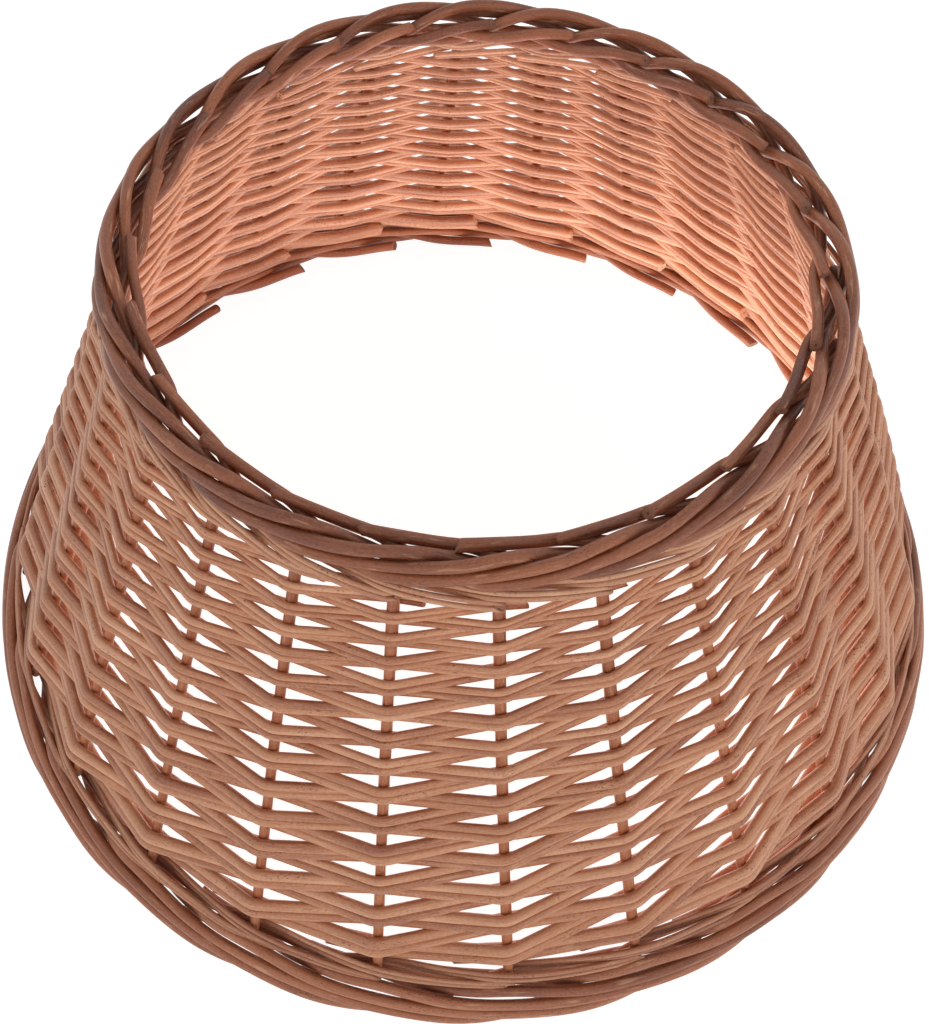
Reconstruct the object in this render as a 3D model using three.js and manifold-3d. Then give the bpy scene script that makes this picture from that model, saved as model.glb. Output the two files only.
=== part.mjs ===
// Woven willow collar that stands round the foot of a Christmas tree: an open ring with sloping sides.
// Upright stakes carry the weave. Their butts are bent into the border at the foot and their tips into
// the border at the rim. Pairs of tapering rods climb round the wall from foot to rim, passing in front
// of one stake and behind the next, and a band of three-rod waling holds each end of the wall.
// Lengths are in millimetres and angles in degrees. +Z is up and the origin is on the floor, in the middle.
import * as THREE from 'three';
import { mergeVertices } from 'three/addons/utils/BufferGeometryUtils.js';
import Module from 'manifold-3d';

// Driving dimensions
const stakeCount = 24;
const footRadius = 291; // middle of the wall at the floor
const rimRadius = 182; // middle of the wall where the border at the rim starts
const firstStakeAngle = -82.9; // where the first stake stands, turning anticlockwise from +X
const stakeLean = -2.1; // how far a stake's top is turned from its foot
const stakeButt = 6.6; // thickness of a stake at its cut butt
const stakeBend = 6; // thickness of a stake where it turns up into the wall
const stakeTip = 6; // thickness of a stake at its cut tip
const weaverButt = 6.7; // thickness of a climbing rod where it starts
const weaverTip = 3; // thickness of a climbing rod where it ends
const footWaleRod = 4.4;
const rimWaleRod = 4.6;
const rowPacking = 0.956; // spacing of the rows as a multiple of the rods' own thickness
const touchGap = 0.3; // air between rods that touch
const standCut = 1.6; // how far the lowest rods are worn flat where the collar stands
const weaverOverhang = 0.28; // how far a climbing rod runs on past its end stakes, in stake spaces

// Routes of the border and the wale, in rod thicknesses and stake spaces
// Border: stake spaces travelled clockwise, then outwards and away from the wall in rod spacings.
// The rod goes behind the next stake, over the edge in a long slant, back in front of the next stakes, two
// at the rim and three at the foot, and in again. At the rim its tip then climbs and lies on top; at the
// foot its butt is cut short.
const rimBorder = [
  [0.0, 0.0, 0.0],
  [0.5, -0.77, 0.09],
  [1.0, -1.04, 0.32],
  [1.25, -0.7, 1.14],
  [1.5, -0.13, 2.07],
  [1.75, 0.45, 2.77],
  [2.0, 0.98, 3.09],
  [2.3, 1.36, 2.96],
  [3.0, 1.34, 2.18],
  [4.0, 1.17, 1.13],
  [4.25, 0.7, 0.72],
  [4.5, -0.04, 1.09],
  [4.75, -0.43, 1.27],
  [5.0, -0.96, 1.38],
  [5.25, -1.51, 1.53],
  [5.5, -1.49, 1.59],
  [6.0, -0.9, 2.39],
  [6.4, -0.64, 2.52],
];
const footBorder = [
  [0.0, 0.0, 0.0],
  [0.5, -0.72, 0.36],
  [1.0, -1.0, 0.7],
  [1.25, -0.84, 1.5],
  [1.5, -0.5, 2.55],
  [1.75, -0.12, 3.3],
  [2.0, 0.36, 3.62],
  [2.3, 0.9, 3.45],
  [3.0, 1.24, 2.62],
  [4.0, 1.26, 1.62],
  [4.4, 1.22, 1.28],
  [5.0, 0.98, 0.32],
  [5.25, 0.8, 0.4],
  [5.5, 0.0, 1.12],
  [5.75, -0.6, 1.55],
  [6.0, -1.5, 1.95],
  [6.5, -2.2, 1.95],
];
// Wale: a rod goes behind one stake and in front of two. Each row is a half space, with the rod's side
// of the wall (-1 inside, 1 outside) and its height in rod thicknesses.
const waleRoute = [
  [-1, 0],
  [0, 0.67],
  [1, 0.62],
  [1, 0],
  [1, -0.62],
  [0, -0.67],
];
const waleRods = 3;
const stakeSides = 5; // facets round a rod
const waleSides = 4;
const borderReach = Math.max(...footBorder.map(([, , rise]) => rise));
const waleReach = 0.5 + Math.max(...waleRoute.map(([, rise]) => rise)); // half the height of a wale

// Heights, built up from the floor
const footSpacing = stakeButt + touchGap;
const rimSpacing = Math.max(stakeBend, stakeTip) + touchGap;
const footEdge = borderReach * footSpacing + stakeButt / 2 - standCut;
const footWaleHeight = footEdge + touchGap + waleReach * footWaleRod;
const sidingStart = footWaleHeight + footWaleRod / 2 + touchGap + weaverButt;
const stakesPassed = stakeCount + 2; // from behind the first stake to behind the last
const sidingEnd = sidingStart + rowPacking * stakesPassed * (weaverButt + weaverTip);
const rimWaleHeight = sidingEnd + weaverTip + touchGap + waleReach * rimWaleRod;
const rimEdge = rimWaleHeight + waleReach * rimWaleRod + touchGap;

const willow = { buff: 0xb08163, dark: 0x94664b, pale: 0xc09373 };
const stakeSpace = (2 * Math.PI) / stakeCount;
const wallSlope = Math.atan2(footRadius - rimRadius, rimEdge);

const wasm = await Module();
wasm.setup();

const shareOfHeight = (height) => height / rimEdge;
const wallRadius = (height) => THREE.MathUtils.lerp(footRadius, rimRadius, shareOfHeight(height));

// Angle of a stake at a height. A place between two stakes has a number between theirs.
function stakeAngle(place, height) {
  const lean = stakeLean * shareOfHeight(height);
  return THREE.MathUtils.degToRad(firstStakeAngle + lean) + place * stakeSpace;
}

// A station is a point on a rod, with the direction that leads out of the wall there.
function station(place, radius, height, tilt) {
  const angle = stakeAngle(place, height);
  const at = new THREE.Vector3(radius * Math.cos(angle), radius * Math.sin(angle), height);
  const level = Math.cos(tilt);
  const out = new THREE.Vector3(level * Math.cos(angle), level * Math.sin(angle), Math.sin(tilt));
  return { at, out };
}

// A station beside a point of the wall's middle surface, at a distance measured square to the wall
function besideWall(place, height, distance) {
  const radius = wallRadius(height) + distance * Math.cos(wallSlope);
  return station(place, radius, height + distance * Math.sin(wallSlope), wallSlope);
}

// Carries a section along stations and closes both ends. A section is a list of [across, along] pairs,
// anticlockwise, with across pointing out of the wall. thickness holds one factor for each station.
function sweepRod(stations, section, thickness) {
  const positions = [];
  const triangles = [];
  const sides = section.length;
  const last = stations.length - 1;
  stations.forEach(({ at, out }, index) => {
    const before = stations[Math.max(index - 1, 0)].at;
    const after = stations[Math.min(index + 1, last)].at;
    const tangent = after.clone().sub(before).normalize();
    const across = out.clone().addScaledVector(tangent, -out.dot(tangent)).normalize();
    const along = tangent.clone().cross(across);
    for (const [x, y] of section) {
      const corner = at.clone();
      corner.addScaledVector(across, x * thickness[index]);
      corner.addScaledVector(along, y * thickness[index]);
      positions.push(...corner.toArray());
    }
  });
  for (let ring = 0; ring < last; ring += 1) {
    for (let side = 0; side < sides; side += 1) {
      const next = (side + 1) % sides;
      const here = ring * sides;
      const there = here + sides;
      triangles.push(here + side, here + next, there + next);
      triangles.push(here + side, there + next, there + side);
    }
  }
  const firstCentre = positions.length / 3;
  positions.push(...stations[0].at.toArray(), ...stations[last].at.toArray());
  for (let side = 0; side < sides; side += 1) {
    const next = (side + 1) % sides;
    triangles.push(firstCentre, next, side);
    triangles.push(firstCentre + 1, last * sides + side, last * sides + next);
  }
  const geometry = new THREE.BufferGeometry();
  geometry.setAttribute('position', new THREE.Float32BufferAttribute(positions, 3));
  geometry.setIndex(triangles);
  return geometry;
}

// Section of one rod, a regular polygon of thickness 1
function roundSection(sides) {
  const corner = (side) => (2 * Math.PI * (side + 0.5)) / sides;
  return Array.from({ length: sides }, (_, side) => [Math.cos(corner(side)) / 2, Math.sin(corner(side)) / 2]);
}

// Section of two rods of thickness 1 lying side by side along the wall, with a waist where they touch
const pairHalfWidth = 0.5;
const pairHalfHeight = 0.8;
const pairWaist = 0.25;
const pairSection = [
  [pairHalfWidth, -pairHalfHeight],
  [pairWaist, 0],
  [pairHalfWidth, pairHalfHeight],
  [-pairHalfWidth, pairHalfHeight],
  [-pairWaist, 0],
  [-pairHalfWidth, -pairHalfHeight],
];

function toSolid(geometry) {
  const vertProperties = new Float32Array(geometry.attributes.position.array);
  const triVerts = new Uint32Array(geometry.index.array);
  return new wasm.Manifold(new wasm.Mesh({ numProp: 3, vertProperties, triVerts }));
}

function toGeometry(solid) {
  const mesh = solid.getMesh();
  const geometry = new THREE.BufferGeometry();
  geometry.setAttribute('position', new THREE.Float32BufferAttribute(mesh.vertProperties, 3));
  geometry.setIndex(Array.from(mesh.triVerts));
  return geometry;
}

// Everything under the floor, which cuts the flats on the lowest rods
function floorSlab() {
  const width = 4 * footRadius;
  const slab = new THREE.BoxGeometry(width, width, stakeButt).translate(0, 0, -stakeButt / 2);
  slab.deleteAttribute('normal');
  slab.deleteAttribute('uv');
  return toSolid(mergeVertices(slab));
}

const collar = new THREE.Group();

function addPiece(name, geometry, colour) {
  geometry.computeVertexNormals();
  const material = new THREE.MeshStandardMaterial({ color: colour, roughness: 0.65, metalness: 0 });
  const mesh = new THREE.Mesh(geometry, material);
  mesh.name = name;
  collar.add(mesh);
}

const numbered = (name, index) => `${name}_${String(index + 1).padStart(2, '0')}`;

// Stations of one border, from the wall's edge to the cut end. way is 1 upwards and -1 downwards.
function borderStations(route, stake, edge, way, spacing) {
  return route.map(([travelled, outwards, rise]) => {
    const height = edge + way * rise * spacing;
    return station(stake - travelled, wallRadius(height) + outwards * spacing, height, 0);
  });
}

// A stake is one rod: butt in the foot's border, upright in the wall, tip in the rim's border.
function stakeGeometry(stake) {
  const foot = borderStations(footBorder, stake, footEdge, -1, footSpacing).reverse();
  const rim = borderStations(rimBorder, stake, rimEdge, 1, rimSpacing);
  const middle = besideWall(stake, (footEdge + rimEdge) / 2, 0);
  const stations = [...foot, middle, ...rim];
  const bend = foot.length - 1;
  const last = stations.length - 1;
  const thickness = stations.map((_, index) => {
    if (index < bend) return THREE.MathUtils.lerp(stakeButt, stakeBend, index / bend);
    return THREE.MathUtils.lerp(stakeBend, stakeTip, (index - bend) / (last - bend));
  });
  return sweepRod(stations, roundSection(stakeSides), thickness);
}

// Two climbing rods side by side. They start behind a stake, travel anticlockwise and rise one row a stake.
// The rise of a row follows the rods' own thickness, so the rows close up towards the rim.
function weaverGeometry(stake) {
  const places = Array.from({ length: stakesPassed + 1 }, (_, passed) => passed);
  const route = [-weaverOverhang, ...places, stakesPassed + weaverOverhang];
  const thicknessAt = (passed) => THREE.MathUtils.lerp(weaverButt, weaverTip, passed / stakesPassed);
  const thickness = route.map(thicknessAt);
  const stations = route.map((passed, index) => {
    const meanThickness = (weaverButt + thickness[index]) / 2;
    const climbed = THREE.MathUtils.clamp(passed, 0, stakesPassed);
    const height = sidingStart + 2 * rowPacking * meanThickness * climbed;
    const side = Math.round(climbed) % 2 === 0 ? -1 : 1;
    return besideWall(stake + passed, height, side * clearOf(stakeBend, thickness[index]));
  });
  return sweepRod(stations, pairSection, thickness);
}

// Distance between the middles of a stake and a rod that bends round it, allowing for the rod's slant
function clearOf(stakeThickness, rodThickness) {
  const touching = (stakeThickness + rodThickness) / 2 + touchGap;
  const span = rimRadius * stakeSpace;
  return touching * Math.hypot(1, (2 * touching) / span);
}

// One rod of a wale, once round the collar, starting behind a stake of its own
function waleGeometry(rod, height, thickness) {
  const halfSpaces = 2 * stakeCount - 1;
  const reach = clearOf(stakeBend, thickness);
  const stations = Array.from({ length: halfSpaces }, (_, half) => {
    const [side, rise] = waleRoute[half % waleRoute.length];
    return besideWall(rod + half / 2, height + rise * thickness, side * reach);
  });
  return sweepRod(stations, roundSection(waleSides), stations.map(() => thickness));
}

const floor = floorSlab();
for (let stake = 0; stake < stakeCount; stake += 1) {
  const rod = toSolid(stakeGeometry(stake)).subtract(floor);
  addPiece(numbered('stake', stake), toGeometry(rod), willow.dark);
}
for (let rod = 0; rod < waleRods; rod += 1) {
  addPiece(numbered('foot_wale_rod', rod), waleGeometry(rod, footWaleHeight, footWaleRod), willow.dark);
}
for (let stake = 0; stake < stakeCount; stake += 1) {
  addPiece(numbered('weaver_pair', stake), weaverGeometry(stake), willow.buff);
}
for (let rod = 0; rod < waleRods; rod += 1) {
  addPiece(numbered('rim_wale_rod', rod), waleGeometry(rod, rimWaleHeight, rimWaleRod), willow.pale);
}

export default collar;
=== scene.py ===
import bpy
import mathutils
import numpy as np
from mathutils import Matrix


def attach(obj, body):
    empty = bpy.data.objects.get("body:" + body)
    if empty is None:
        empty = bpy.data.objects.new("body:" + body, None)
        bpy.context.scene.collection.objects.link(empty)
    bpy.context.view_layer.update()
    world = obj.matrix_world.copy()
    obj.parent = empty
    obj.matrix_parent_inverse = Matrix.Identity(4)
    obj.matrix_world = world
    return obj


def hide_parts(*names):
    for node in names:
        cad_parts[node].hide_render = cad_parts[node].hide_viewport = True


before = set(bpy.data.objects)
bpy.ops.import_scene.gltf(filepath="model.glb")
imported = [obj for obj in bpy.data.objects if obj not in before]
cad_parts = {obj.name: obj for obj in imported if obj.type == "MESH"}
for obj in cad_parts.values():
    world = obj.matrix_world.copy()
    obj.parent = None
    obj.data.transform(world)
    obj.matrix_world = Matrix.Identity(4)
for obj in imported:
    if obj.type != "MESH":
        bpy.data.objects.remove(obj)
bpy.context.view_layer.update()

# Stakes: willow rods about 7 mm thick at the butt, soaked until they bend. Each is one rod. Its butt is
# worked into the border at the foot, it stands upright in the wall, and its tip is worked into the border
# at the rim. Both ends are cut off short on the inside, and nothing but the weave holds them.
MM = 0.001
STAKE_COUNT = 24
FOOT_RADIUS = 291.6 * MM  # middle of the wall at the floor
RIM_RADIUS = 182 * MM  # middle of the wall where the border at the rim starts
FOOT_EDGE = 26.7 * MM  # height where the border at the foot meets the wall
RIM_EDGE = 296.8 * MM
FIRST_STAKE = -82.9  # degrees anticlockwise from +X
STAKE_LEAN = -2.1  # degrees that a stake's top is turned from its foot
STAKE_BUTT = 7 * MM  # thickness in the border at the foot
STAKE_UPRIGHT = 5.8 * MM  # thickness in the wall
STAKE_TIP = 6.4 * MM  # thickness in the border at the rim
STAKE_VARIES = (0.94, 1.04)  # thickness of single stakes, as a share of these
STAKE_EASE = 7 * MM  # length over which a stake's corners are eased
FOOT_SPACING = 6.9 * MM  # between the middles of border rods that touch
RIM_SPACING = 6.3 * MM
BORDER_STEPS = 160  # points along the route of a border
UPRIGHT_STEPS = 60
STAKE_SIDES = 14
OVAL = 4.5 * MM  # how far the rim swells out at its two sides
BULGE = 4.5 * MM  # how far the wall swells halfway up on the side towards +X
RING_STEP = 2.5 * MM  # length of rod from one ring of its mesh to the next
UNEVENNESS = 0.07  # slow change of a rod's thickness along it, as a share
UNEVEN_WAVE = 90 * MM
FLATTENING = 0.06  # how far a rod's section may be from round, as a share
PATTERN_SHIFT = 50  # metres by which the patterns of two rods may lie apart

# Border routes: stake spaces travelled clockwise, then outwards and away from the wall in rod spacings.
# The rod goes behind the next stake, over the edge in a long slant, back in front of the next stakes, two
# at the rim and three at the foot, and in again. At the rim its tip then lies inside the border and is cut
# off; at the foot its butt is cut short.
RIM_BORDER = np.array([
    (0.0, 0.0, 0.0),
    (0.5, -0.77, 0.09),
    (1.0, -1.04, 0.32),
    (1.25, -0.7, 1.14),
    (1.5, -0.13, 2.07),
    (1.75, 0.45, 2.77),
    (2.0, 0.98, 3.09),
    (2.3, 1.36, 2.96),
    (3.0, 1.34, 2.18),
    (4.0, 1.17, 1.13),
    (4.25, 0.7, 0.72),
    (4.5, -0.04, 1.09),
    (4.75, -0.43, 1.27),
    (5.0, -1.0, 1.38),
    (5.25, -1.65, 1.52),
    (5.5, -1.72, 1.57),
    (6.0, -1.12, 2.3),
    (6.4, -0.72, 2.54),
])
FOOT_BORDER = np.array([
    (0.0, 0.0, 0.0),
    (0.5, -0.72, 0.36),
    (1.0, -1.0, 0.7),
    (1.25, -0.84, 1.5),
    (1.5, -0.5, 2.55),
    (1.75, -0.12, 3.3),
    (2.0, 0.36, 3.6),
    (2.3, 0.9, 3.35),
    (3.0, 1.24, 2.4),
    (4.0, 1.28, 1.35),
    (4.4, 1.24, 1.0),
    (5.0, 1.02, 0.02),
    (5.25, 0.86, 0.15),
    (5.5, 0.02, 1.05),
    (5.75, -0.6, 1.55),
    (6.0, -1.42, 1.95),
    (6.6, -1.95, 1.95),
])

rng = np.random.default_rng(24)


def linear(hex_colour):
    """An sRGB hex colour as linear RGBA, by the sRGB curve."""
    srgb = np.array([int(hex_colour[i:i + 2], 16) for i in (1, 3, 5)]) / 255
    rgb = np.where(srgb <= 0.04045, srgb / 12.92, ((srgb + 0.055) / 1.055) ** 2.4)
    return (*rgb.tolist(), 1.0)


def add(tree, kind, inputs=None, stops=(), **settings):
    """Adds a node. inputs are values or outputs for its sockets, stops the (position, hex colour) pairs of
    a colour ramp, and settings its other properties."""
    node = tree.nodes.new(kind)
    for key, value in settings.items():
        setattr(node, key, value)
    for key, value in (inputs or {}).items():
        if isinstance(value, bpy.types.NodeSocket):
            tree.links.new(value, node.inputs[key])
        else:
            node.inputs[key].default_value = value
    for spare in stops[2:]:
        node.color_ramp.elements.new(1.0)
    for element, (position, colour) in zip(node.color_ramp.elements if stops else (), stops):
        element.position = position
        element.color = linear(colour)
    return node


def new_material(name):
    """An empty node material, its node tree and its output node."""
    material = bpy.data.materials.new(name)
    material.use_nodes = True
    material.node_tree.nodes.clear()
    return material, material.node_tree, add(material.node_tree, "ShaderNodeOutputMaterial")


def buff_willow(name, dark, middle, pale):
    """Buff willow: boiled in its bark, peeled and dried, so tannin has stained it a pinkish tan. The peeled
    skin is smooth and faintly waxy, with long fine fibres, short grain, clouds, pale scuffs and patches of
    dark flecks. Each pattern runs along the rod, in the rod's own straightened coordinates in metres."""
    material, tree, output = new_material(name)
    rod = add(tree, "ShaderNodeAttribute", attribute_name="rod_space").outputs["Vector"]
    # The rod's tone differs at random from rod to rod; on a stake it also carries painted light in the wall
    # and painted shade in the borders.
    tone_and_painted_light = add(tree, "ShaderNodeAttribute", attribute_name="rod_tone_and_painted_light").outputs["Fac"]

    # Width and length of each pattern's cells in mm. Fibres and grain are drawn coarser than real ones, so
    # that they show.
    cells = {
        "fibres": (0.8, 26),
        "grain": (0.7, 1.8),
        "clouds": (7, 60),
        "scuffs": (2.5, 16),
        "patches": (8, 30),
        "flecks": (0.8, 1.6),
    }
    noise = {}
    for pattern, (width, length) in cells.items():
        per_metre = (1 / (width * MM), 1 / (width * MM), 1 / (length * MM))
        at = add(tree, "ShaderNodeVectorMath", {0: rod, 1: per_metre}, operation="MULTIPLY").outputs[0]
        settings = {"Vector": at, "Scale": 1.0, "Detail": 3.0}
        noise[pattern] = add(tree, "ShaderNodeTexNoise", settings).outputs["Fac"]

    # Each limit maps a range of a pattern to how strongly it shows. Flecks show inside patches only, and
    # fibres are mapped to roughness.
    limits = {
        "scuffs": (0.6, 0.72, 0.0, 0.4),
        "patches": (0.46, 0.62, 0.0, 1.0),
        "flecks": (0.58, 0.68, 0.0, 0.85),
        "fibres": (0.3, 0.7, 0.45, 0.6),
    }
    shown = {}
    for pattern, (low, high, first, last) in limits.items():
        span = {"Value": noise[pattern], "From Min": low, "From Max": high, "To Min": first, "To Max": last}
        shown[pattern] = add(tree, "ShaderNodeMapRange", span).outputs[0]
    both = {0: shown["flecks"], 1: shown["patches"]}
    flecked = add(tree, "ShaderNodeMath", both, operation="MULTIPLY").outputs[0]

    shade = -0.3  # brings the weighted sum to the middle of the colours
    weights = ((noise["fibres"], 0.4), (noise["grain"], 0.45), (noise["clouds"], 0.5), (tone_and_painted_light, 0.25))
    for value, weight in weights:
        part = {0: value, 1: weight, 2: shade}
        shade = add(tree, "ShaderNodeMath", part, operation="MULTIPLY_ADD").outputs[0]
    stops = ((0.2, dark), (0.5, middle), (0.8, pale))
    colour = add(tree, "ShaderNodeValToRGB", {"Fac": shade}, stops).outputs["Color"]
    scuff, fleck = "#e6b48c", "#55291a"
    for factor, mark in ((shown["scuffs"], scuff), (flecked, fleck)):
        blend = {"Factor": factor, "A": colour, "B": linear(mark)}
        colour = add(tree, "ShaderNodeMix", blend, data_type="RGBA").outputs["Result"]
    relief = {"Height": shade, "Strength": 0.3, "Distance": 0.3 * MM}
    bump = add(tree, "ShaderNodeBump", relief).outputs["Normal"]
    skin = {"Base Color": colour, "Roughness": shown["fibres"], "Normal": bump, "IOR": 1.5}
    wax = {"Coat Weight": 0.25, "Coat Roughness": 0.25, "Coat IOR": 1.5}
    shader = add(tree, "ShaderNodeBsdfPrincipled", skin | wax)
    tree.links.new(shader.outputs["BSDF"], output.inputs["Surface"])
    return material


def cut_willow(name, dark, pale, pith):
    """Willow cut across with a knife: matt wood, mottled finely. The pith in the middle is darker, and ends
    between 0.4 and 1 mm from it."""
    material, tree, output = new_material(name)
    rod = add(tree, "ShaderNodeAttribute", attribute_name="rod_space").outputs["Vector"]
    flat = {0: rod, 1: (1.0, 1.0, 0.0)}
    across = add(tree, "ShaderNodeVectorMath", flat, operation="MULTIPLY").outputs[0]
    radius = add(tree, "ShaderNodeVectorMath", {0: across}, operation="LENGTH").outputs["Value"]
    edge = {"Value": radius, "From Min": 0.4 * MM, "From Max": 1.0 * MM}
    wood = add(tree, "ShaderNodeMapRange", edge).outputs[0]
    grain = {"Vector": rod, "Scale": 1 / (0.8 * MM), "Detail": 3.0}
    mottle = add(tree, "ShaderNodeTexNoise", grain).outputs["Fac"]
    colour = add(tree, "ShaderNodeValToRGB", {"Fac": mottle}, ((0.3, dark), (0.7, pale))).outputs["Color"]
    pithed = {"Factor": wood, "A": linear(pith), "B": colour}
    colour = add(tree, "ShaderNodeMix", pithed, data_type="RGBA").outputs["Result"]
    shader = add(tree, "ShaderNodeBsdfPrincipled", {"Base Color": colour, "Roughness": 0.7})
    tree.links.new(shader.outputs["BSDF"], output.inputs["Surface"])
    return material


def wall_radius(height):
    """Radius of the wall's middle surface, a straight cone."""
    return FOOT_RADIUS + (RIM_RADIUS - FOOT_RADIUS) * height / RIM_EDGE


def wall_points(place, height, outwards):
    """Points beside the wall. place counts stakes anticlockwise, and outwards is level, off the middle
    surface. The wall swells where it was woven unevenly: near the rim by high powers of the angle's cosine
    and of the height, and halfway up by a half sine of the height on the side towards +X."""
    turn = FIRST_STAKE + STAKE_LEAN * height / RIM_EDGE
    angle = np.radians(turn + place * 360 / STAKE_COUNT)
    share = np.clip(height / RIM_EDGE, 0, 1)
    oval = OVAL * np.cos(angle) ** 8 * share ** 6
    bulge = BULGE * np.cos(angle).clip(0) ** 2 * np.sin(np.pi * share)
    radius = wall_radius(height) + oval + bulge + outwards
    return np.column_stack([radius * np.cos(angle), radius * np.sin(angle), height + 0 * angle])


def smooth(route, at):
    """Values of a route at places along it: a cubic Hermite curve through its rows (place, values...)."""
    knots, values = route[:, 0], route[:, 1:]
    slopes = np.gradient(values, knots, axis=0)
    i = np.clip(np.searchsorted(knots, at) - 1, 0, len(knots) - 2)
    step = (knots[i + 1] - knots[i])[:, None]
    t = (at - knots[i])[:, None] / step
    start = (1 + 2 * t) * (1 - t) ** 2 * values[i] + t * (1 - t) ** 2 * step * slopes[i]
    return start + t * t * (3 - 2 * t) * values[i + 1] + t * t * (t - 1) * step * slopes[i + 1]


def wander(length, wave, size):
    """A slow random wave along a rod: the mean of three sines of 0.6 to 1.8 times the given wavelength,
    with random phases."""
    waves = wave * rng.uniform(0.6, 1.8, 3)
    phases = rng.uniform(0, 2 * np.pi, 3)
    return size * np.sin(2 * np.pi * length[:, None] / waves + phases).mean(axis=1)


def rod_shell(points, thickness, sides, soften, cuts=(0.5, 0.5), paleness_and_painted_light=(0, 0)):
    """One rod. Its route is sampled evenly by length, its corners are eased over the length soften, and a
    ring of radius r is carried along it: middle + r (cos a across + sin a along), with across leading out
    of the wall. cuts are the slopes of the two cut ends, and the last argument is the change of tone on the
    way. On a stake that change is painted light, paler in the wall where the weavers shade it, and painted
    shade, darker in the borders."""
    run = np.concatenate([[0], np.cumsum(np.linalg.norm(np.diff(points, axis=0), axis=1))])
    rings = int(run[-1] / RING_STEP) + 2
    length = np.linspace(0, run[-1], rings)
    middle = np.column_stack([np.interp(length, run, points[:, k]) for k in range(3)])
    reach = max(int(round(soften / (length[1] - length[0]))), 1)
    window = np.hanning(2 * reach + 3)[1:-1]
    window = window / window.sum()
    before = 2 * middle[:1] - middle[reach:0:-1]
    after = 2 * middle[-1:] - middle[-2:-reach - 2:-1]
    drawn_out = np.concatenate([before, middle, after])
    middle = np.column_stack([np.convolve(drawn_out[:, k], window, "valid") for k in range(3)])

    tangent = np.gradient(middle, axis=0)
    tangent /= np.linalg.norm(tangent, axis=1)[:, None]
    across = middle * (1, 1, 0)
    across -= tangent * (across * tangent).sum(axis=1)[:, None]
    across /= np.linalg.norm(across, axis=1)[:, None]
    along = np.cross(tangent, across)

    share = length / length[-1]
    knots = np.linspace(0, 1, len(thickness))
    radius = np.interp(share, knots, thickness) / 2 * (1 + wander(length, UNEVEN_WAVE, UNEVENNESS))
    turn = 2 * np.pi * np.arange(sides) / sides
    oval = rng.uniform(-FLATTENING, FLATTENING)
    x = radius[:, None] * np.cos(turn) * (1 + oval)
    y = radius[:, None] * np.sin(turn) * (1 - oval)
    slide = np.zeros((rings, sides))
    facing = rng.uniform(0, 2 * np.pi, 2)
    slide[0] = cuts[0] * radius[0] * np.cos(turn - facing[0])
    slide[-1] = cuts[1] * radius[-1] * np.cos(turn - facing[1])
    surface = middle[:, None] + x[..., None] * across[:, None] + y[..., None] * along[:, None]
    surface += slide[..., None] * tangent[:, None]
    surface[..., 2] = np.maximum(surface[..., 2], 0)  # worn flat where it stands on the floor
    distance = np.broadcast_to(length[:, None], x.shape) + rng.uniform(0, PATTERN_SHIFT)
    straight = np.stack([x, y, distance], axis=-1)
    tone_and_painted_light = rng.uniform(0, 1) + np.interp(share, np.linspace(0, 1, len(paleness_and_painted_light)), paleness_and_painted_light)
    return surface, straight, np.repeat(tone_and_painted_light, sides)


def willow_piece(name, shells, node, skin, cut):
    """Joins closed rods into one mesh, with four-sided faces round each rod and one face at each cut end,
    and puts it in the place of a node of the solids."""
    corners, starts, kinds = [], [], []
    first_point = first_corner = 0
    for surface, _, _ in shells:
        rings, sides = surface.shape[:2]
        side = np.arange(sides)
        here = first_point + np.arange(rings - 1)[:, None] * sides + side
        onwards = first_point + np.arange(rings - 1)[:, None] * sides + (side + 1) % sides
        quads = np.stack([here, onwards, onwards + sides, here + sides], axis=-1).ravel()
        caps = np.concatenate([first_point + side[::-1], first_point + (rings - 1) * sides + side])
        corners += [quads, caps]
        cap_starts = len(quads) + np.array([0, sides])
        starts.append(first_corner + np.concatenate([4 * np.arange(len(quads) // 4), cap_starts]))
        kinds += [np.zeros(len(quads) // 4, dtype=np.int32), np.ones(2, dtype=np.int32)]
        first_point += rings * sides
        first_corner += len(quads) + len(caps)
    corners, starts, kinds = (np.concatenate(a) for a in (corners, starts, kinds))

    mesh = bpy.data.meshes.new(name)
    mesh.vertices.add(first_point)
    mesh.loops.add(first_corner)
    mesh.polygons.add(len(starts))
    surface, straight, tone_and_painted_light = (np.concatenate([part.ravel() for part in parts]) for parts in zip(*shells))
    mesh.vertices.foreach_set("co", surface)
    mesh.loops.foreach_set("vertex_index", corners)
    mesh.polygons.foreach_set("loop_start", starts)
    mesh.polygons.foreach_set("material_index", kinds)
    mesh.polygons.foreach_set("use_smooth", kinds == 0)
    mesh.attributes.new("rod_space", "FLOAT_VECTOR", "POINT")
    mesh.attributes.new("rod_tone_and_painted_light", "FLOAT", "POINT")
    mesh.attributes["rod_space"].data.foreach_set("vector", straight)
    mesh.attributes["rod_tone_and_painted_light"].data.foreach_set("value", tone_and_painted_light)
    mesh.materials.append(skin)
    mesh.materials.append(cut)
    mesh.update(calc_edges=True)

    piece = bpy.data.objects.new(name, mesh)
    bpy.context.collection.objects.link(piece)
    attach(piece, "root")
    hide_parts(node)


def border_points(route, stake, edge, way, spacing):
    """Middle line of one border, from the wall's edge to the cut end; way is 1 upwards and -1 downwards."""
    travelled = np.linspace(0, route[-1, 0], BORDER_STEPS)
    outwards, rise = smooth(route, travelled).T * spacing
    return wall_points(stake - travelled, edge + way * rise, outwards)


# The stakes' colours are darker than the weavers': partly the stakes' own tone, and partly painted shade,
# with the dark stop standing in for the deep shade in the crevices of the borders.
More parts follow.
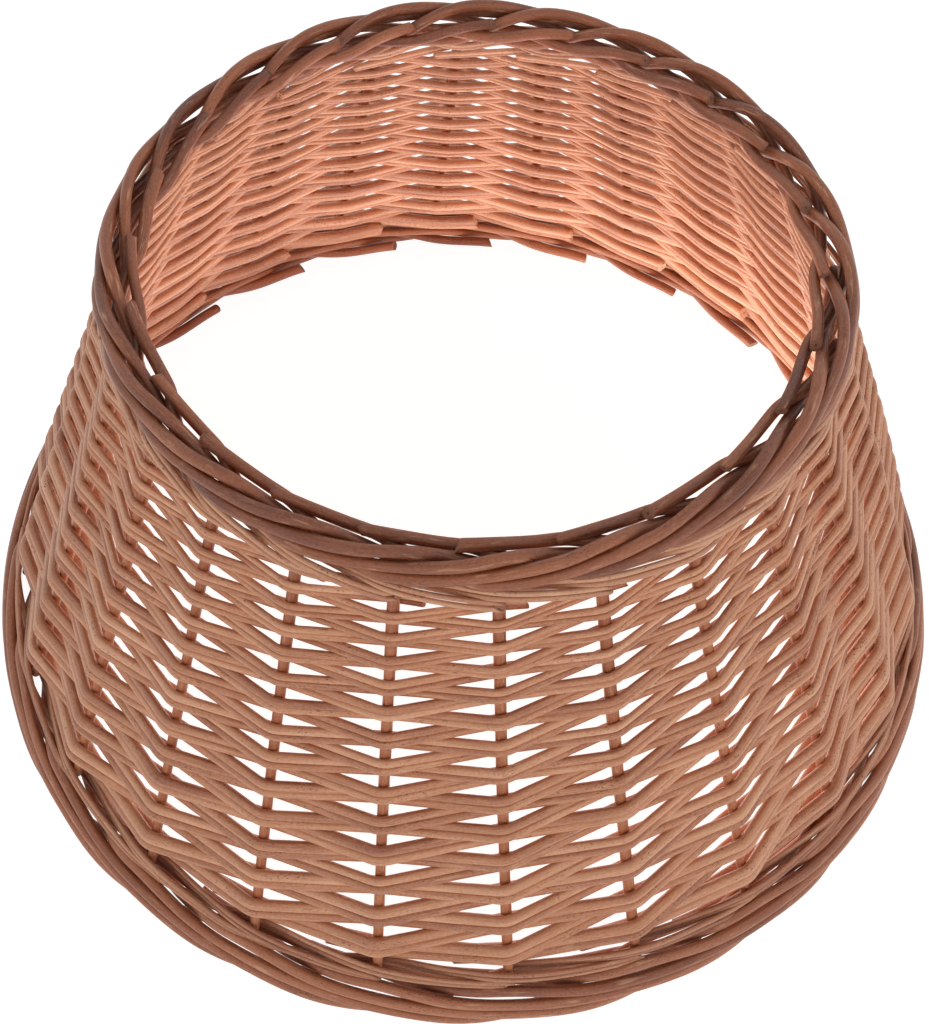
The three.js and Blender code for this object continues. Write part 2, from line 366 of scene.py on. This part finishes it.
stake_skin_and_painted_shade = buff_willow("buff_willow_stake_and_painted_shade", "#632f19", "#9a5837", "#bc7955")
old_cut = cut_willow("cut_willow_weathered", "#744633", "#96684f", "#573225")
for stake in range(STAKE_COUNT):
    upright = np.linspace(FOOT_EDGE, RIM_EDGE, UPRIGHT_STEPS)[1:-1]
    route = np.concatenate([
        border_points(FOOT_BORDER, stake, FOOT_EDGE, -1, FOOT_SPACING)[::-1],
        wall_points(stake, upright, 0),
        border_points(RIM_BORDER, stake, RIM_EDGE, 1, RIM_SPACING),
    ])
    taper = np.repeat([STAKE_BUTT, STAKE_UPRIGHT, STAKE_TIP], 2) * rng.uniform(*STAKE_VARIES)
    # Tone along a stake: painted light makes it paler in the wall, where the weavers shade it, and painted
    # shade makes it darker in the borders, darkest at the rim.
    paleness_and_painted_light = (0.2, 0.2, 0.8, 0.8, -0.4, -0.4)  # painted light and shade
    shell = rod_shell(route, taper, STAKE_SIDES, STAKE_EASE, paleness_and_painted_light=paleness_and_painted_light)
    number = f"{stake + 1:02d}"
    willow_piece(f"willow_stake_{number}", [shell], f"stake_{number}", stake_skin_and_painted_shade, old_cut)

# Foot wale: three strands of thin willow twined round the stakes just above the border at the foot. Each
# goes behind one stake and in front of two, in turn with the others. A strand is two rods laid side by
# side, joined on where they run out.
FOOT_WALE_HEIGHT = 30.8 * MM
FOOT_WALE_STRAND = 4.4 * MM  # thickness of a strand as if it were one rod
FOOT_WALE_THIN = 3.3 * MM  # each of the two rods in a strand
FOOT_WALE_PALENESS = 0.0  # added to each rod's own tone, which is 0 to 1
WALE_STRANDS = 3
WALE_SIDES = 12
WALE_STEPS = 16  # points along the route in a stake space
WALE_EASE = 4 * MM
WALE_VARIES = (0.88, 1.1)
WALE_TAPER = 0.86  # thickness at the end of a length as a share of that at its start
WALE_WAVE = 3.0  # stake spaces
WALE_WAVER = 0.8 * MM
WALE_JOINS = (7.6, 16.6)  # stake spaces from the start of a strand
WALE_CUTS = (1.6, 2.2)  # slope of the two cut ends
STRAND_LIFT = 0.48  # from a strand's middle to each rod's, as a share of the rod's thickness
ROD_GAP = 0.3 * MM  # air between a rod and the stake it bends round
WALL_SLOPE = np.arctan2(FOOT_RADIUS - RIM_RADIUS, RIM_EDGE)

# Wale route, a row for each half stake space: side of the wall, and height in thicknesses of a strand
WALE_ROUTE = np.array([(-1, 0), (0, 0.67), (1, 0.62), (1, 0), (1, -0.62), (0, -0.67)])


def beside_wall(place, height, distance):
    """Points beside the wall at a distance measured square to it, outwards from its middle surface."""
    return wall_points(place, height + distance * np.sin(WALL_SLOPE), distance / np.cos(WALL_SLOPE))


def wale_lengths(strand, height, spacing, thickness, lift, paleness_and_painted_light):
    """One rod of a wale once round the collar, as three lengths that meet on the outside. spacing sets how
    far the strands lie from the wall's middle and apart, and lift moves the rod along the wall off its
    strand's middle."""
    reach = (STAKE_UPRIGHT + spacing) / 2 + ROD_GAP
    halves = np.arange(2 * STAKE_COUNT - 1)
    knots = np.column_stack([halves / 2, WALE_ROUTE[halves % len(WALE_ROUTE)]])
    joins = np.array([0, *WALE_JOINS, halves[-1] / 2])
    shells = []
    for start, end in zip(joins[:-1], joins[1:]):
        place = np.linspace(start, end, int((end - start) * WALE_STEPS))
        side, rise = smooth(knots, place).T
        up = rise * spacing + lift + wander(place, WALE_WAVE, WALE_WAVER)
        points = beside_wall(strand + place, height + up, side * reach)
        size = thickness * rng.uniform(*WALE_VARIES)
        taper = [size, size * WALE_TAPER]
        shells.append(rod_shell(points, taper, WALE_SIDES, WALE_EASE, WALE_CUTS, (paleness_and_painted_light, paleness_and_painted_light)))
    return shells


wale_skin = buff_willow("buff_willow_wale", "#7d4630", "#b17555", "#cf9a78")
new_cut = cut_willow("cut_willow", "#bb8768", "#e0b393", "#94644b")
for strand in range(WALE_STRANDS):
    number = f"{strand + 1:02d}"
    shells = []
    for lift in (-STRAND_LIFT * FOOT_WALE_THIN, STRAND_LIFT * FOOT_WALE_THIN):
        sizes = (FOOT_WALE_HEIGHT, FOOT_WALE_STRAND, FOOT_WALE_THIN)
        shells += wale_lengths(strand, *sizes, lift, FOOT_WALE_PALENESS)
    name = f"willow_foot_wale_{number}"
    willow_piece(name, shells, f"foot_wale_rod_{number}", wale_skin, new_cut)

# Siding: tapering rods woven in pairs. Each pair starts with its cut butts behind a stake of its own and
# climbs one row at each stake, in front of one and behind the next, until it has gone once round.
SIDING_START = 39.9 * MM
WEAVER_BUTT = 6.7 * MM
WEAVER_TIP = 3 * MM
ROW_PACKING = 0.956  # what a pair climbs at a stake, as a share of the thickness of its two rods
STAKES_PASSED = STAKE_COUNT + 2
BUTT_OVERHANG = 0.42  # how far a rod's butt runs on past its first stake, in stake spaces
TIP_OVERHANG = 0.28
WEAVER_SIDES = 12
WEAVER_BEND = 4 * MM  # length over which a rod bends at a stake
WEAVER_VARIES = (0.98, 1.11)
WEAVER_WAVE = 4.0  # stake spaces
WEAVER_WAVER = 0.9 * MM
PAIR_LIFT = 0.47  # from a pair's middle to each rod's, as a share of the rod's thickness

weaver_skin = buff_willow("buff_willow_weaver", "#92543a", "#c88964", "#e4ae8a")


def weaver_points(stake, lift):
    """Middle line of one rod of a pair. A stiff rod runs straight from stake to stake, so the points are
    where it touches them, outside and inside by turns. At each stake it climbs by about the thickness of
    the pair, which falls evenly, so its height is a quadratic in the stakes passed. lift moves it along the
    wall off the pair's middle."""
    touched = np.arange(STAKES_PASSED + 1)
    passed = np.concatenate([[-BUTT_OVERHANG], touched, [STAKES_PASSED + TIP_OVERHANG]])
    climbed = np.clip(passed, 0, STAKES_PASSED)
    thickness = WEAVER_BUTT + (WEAVER_TIP - WEAVER_BUTT) * climbed / STAKES_PASSED
    height = SIDING_START + ROW_PACKING * (WEAVER_BUTT + thickness) * climbed + lift * thickness
    height += wander(passed, WEAVER_WAVE, WEAVER_WAVER)
    side = np.where(climbed % 2, 1, -1)
    reach = (STAKE_UPRIGHT + thickness) / 2 + ROD_GAP
    return beside_wall(stake + passed, height, side * reach)


for stake in range(STAKE_COUNT):
    number = f"{stake + 1:02d}"
    for level, lift in (("lower", -PAIR_LIFT), ("upper", PAIR_LIFT)):
        points = weaver_points(stake, lift)
        taper = np.array([WEAVER_BUTT, WEAVER_TIP]) * rng.uniform(*WEAVER_VARIES)
        shell = rod_shell(points, taper, WEAVER_SIDES, WEAVER_BEND)
        name = f"willow_weaver_{number}_{level}"
        willow_piece(name, [shell], f"weaver_pair_{number}", weaver_skin, new_cut)

# Rim wale: three strands of thin willow, paler than at the foot, twined under the border at the rim. Each
# goes behind one stake and in front of two, and is two rods laid side by side. It locks the last row of the
# siding.
RIM_WALE_HEIGHT = 291.1 * MM
RIM_WALE_STRAND = 4.6 * MM
RIM_WALE_THIN = 3.3 * MM
RIM_WALE_PALENESS = 0.8

for strand in range(WALE_STRANDS):
    number = f"{strand + 1:02d}"
    shells = []
    for lift in (-STRAND_LIFT * RIM_WALE_THIN, STRAND_LIFT * RIM_WALE_THIN):
        sizes = (RIM_WALE_HEIGHT, RIM_WALE_STRAND, RIM_WALE_THIN)
        shells += wale_lengths(strand, *sizes, lift, RIM_WALE_PALENESS)
    name = f"willow_rim_wale_{number}"
    willow_piece(name, shells, f"rim_wale_rod_{number}", wale_skin, new_cut)

# Floor: a wide pale matt sheet lit from under, like a photographer's light table, so that light comes up
# under the rods. Seen from above it is white, with a faint shadow under the collar.
FLOOR_HALF = 6.0  # metres from its middle to its edges
FLOOR_DROP = 0.3 * MM  # how far it lies under the lowest rods
FLOOR_WHITE = 0.93  # what the camera sees of its glow, to which the light it reflects adds
FLOOR_GREY = 0.3  # share of light that the sheet reflects
TABLE_GLOW = 6.0  # light sent up from the lit part of the table
ROOM_GLOW = 0.2  # light sent up from the floor round it
TABLE_MIDDLE = (0.09, 0.02, 0)  # inside the collar, towards +X
TABLE_REACH = (0.1, 0.28)  # where the lit part starts to fade and where it ends

floor_mesh = bpy.data.meshes.new("floor")
corners = np.array([(-1, -1, 0), (1, -1, 0), (1, 1, 0), (-1, 1, 0)]) * FLOOR_HALF
floor_mesh.from_pydata((corners - (0, 0, FLOOR_DROP)).tolist(), [], [(0, 1, 2, 3)])
floor = bpy.data.objects.new("floor", floor_mesh)
bpy.context.collection.objects.link(floor)
material, tree, output = new_material("light_table")
ray = add(tree, "ShaderNodeLightPath").outputs
seen = ray["Is Camera Ray"]
for kind in ("Is Glossy Ray", "Is Transmission Ray"):
    seen = add(tree, "ShaderNodeMath", {0: seen, 1: ray[kind]}, operation="MAXIMUM").outputs[0]
place = add(tree, "ShaderNodeTexCoord").outputs["Object"]
away = add(tree, "ShaderNodeVectorMath", {0: place, 1: TABLE_MIDDLE}, operation="DISTANCE").outputs["Value"]
fade = {"Value": away, "From Min": TABLE_REACH[0], "From Max": TABLE_REACH[1]}
lit = add(tree, "ShaderNodeMapRange", fade | {"To Min": TABLE_GLOW, "To Max": ROOM_GLOW}).outputs[0]
sight = {"Factor": seen, "A": lit, "B": FLOOR_WHITE}
strength = add(tree, "ShaderNodeMix", sight).outputs["Result"]
glow = add(tree, "ShaderNodeEmission", {"Color": (1, 1, 1, 1), "Strength": strength})
matt = add(tree, "ShaderNodeBsdfDiffuse", {"Color": (FLOOR_GREY, FLOOR_GREY, FLOOR_GREY, 1)})
both = add(tree, "ShaderNodeAddShader", {0: glow.outputs[0], 1: matt.outputs[0]})
tree.links.new(both.outputs[0], output.inputs["Surface"])
floor_mesh.materials.append(material)

# Light: a soft studio dome, bright near the horizon and dimmer overhead, as between tall panels of white
# cloth. Where it is seen directly or mirrored it is plain white.
HORIZON = 1.8
ZENITH = 0.1
FADE_HEIGHTS = (0.2, 0.85)  # where it starts to dim and where it is dimmest, as the sine of the elevation
KEY_SIDE = (0.75, -0.66, 0.0)  # the brighter side, in front and to the right
KEY_SHARES = (0.8, 1.2)  # light from the far side and from the key side, as a share of the dome's

world = bpy.data.worlds.new("studio")
bpy.context.scene.world = world
world.use_nodes = True
tree = world.node_tree
tree.nodes.clear()
output = add(tree, "ShaderNodeOutputWorld")
direction = add(tree, "ShaderNodeTexCoord").outputs["Generated"]
upwards = add(tree, "ShaderNodeSeparateXYZ", {0: direction}).outputs["Z"]
fall = {"Value": upwards, "From Min": FADE_HEIGHTS[0], "From Max": FADE_HEIGHTS[1]}
level = add(tree, "ShaderNodeMapRange", fall | {"To Min": HORIZON, "To Max": ZENITH}).outputs[0]
sideways = add(tree, "ShaderNodeVectorMath", {0: direction, 1: KEY_SIDE}, operation="DOT_PRODUCT")
spread = {"Value": sideways.outputs["Value"], "From Min": -1.0, "From Max": 1.0}
spread |= {"To Min": KEY_SHARES[0], "To Max": KEY_SHARES[1]}
share = add(tree, "ShaderNodeMapRange", spread).outputs[0]
level = add(tree, "ShaderNodeMath", {0: level, 1: share}, operation="MULTIPLY").outputs[0]
dome = add(tree, "ShaderNodeBackground", {"Color": (1, 1, 1, 1), "Strength": level})
white = add(tree, "ShaderNodeBackground", {"Color": (1, 1, 1, 1), "Strength": 1.0})
ray = add(tree, "ShaderNodeLightPath").outputs
seen = ray["Is Camera Ray"]
for kind in ("Is Glossy Ray", "Is Transmission Ray"):
    seen = add(tree, "ShaderNodeMath", {0: seen, 1: ray[kind]}, operation="MAXIMUM").outputs[0]
mixed = add(tree, "ShaderNodeMixShader", {0: seen, 1: dome.outputs[0], 2: white.outputs[0]})
tree.links.new(mixed.outputs[0], output.inputs["Surface"])

# Camera: in front and above, turned a little clockwise. Its place, its focal length and the middle of its
# picture are fitted to the outlines of the foot and the rim.
IMAGE_WIDTH, IMAGE_HEIGHT = 929, 1024
FOCAL_PIXELS = 1678.05
PRINCIPAL_POINT = (468.04, 485.14)
CAMERA_DISTANCE = 1028.99 * MM  # from a point on the collar's axis
AIM_HEIGHT = 100 * MM
ELEVATION = np.radians(56.87)
ROLL = np.radians(2.33)
SENSOR = 36.0  # mm

forward = np.array([0, np.cos(ELEVATION), -np.sin(ELEVATION)])
right = np.array([1.0, 0, 0])
up = np.cross(right, forward)
frame_right = np.cos(ROLL) * right + np.sin(ROLL) * up
frame_up = np.cos(ROLL) * up - np.sin(ROLL) * right
eye = np.array([0, 0, AIM_HEIGHT]) - CAMERA_DISTANCE * forward
camera_data = bpy.data.cameras.new("camera")
camera_data.sensor_width = SENSOR
camera_data.lens = FOCAL_PIXELS * SENSOR / IMAGE_HEIGHT
camera_data.shift_x = (IMAGE_WIDTH / 2 - PRINCIPAL_POINT[0]) / IMAGE_HEIGHT
camera_data.shift_y = (PRINCIPAL_POINT[1] - IMAGE_HEIGHT / 2) / IMAGE_HEIGHT
camera = bpy.data.objects.new("camera", camera_data)
bpy.context.collection.objects.link(camera)
placing = np.eye(4)
placing[:3, :] = np.column_stack([frame_right, frame_up, -forward, eye])
camera.matrix_world = mathutils.Matrix(placing.tolist())
bpy.context.scene.camera = camera
bpy.context.scene.view_settings.view_transform = "Standard"
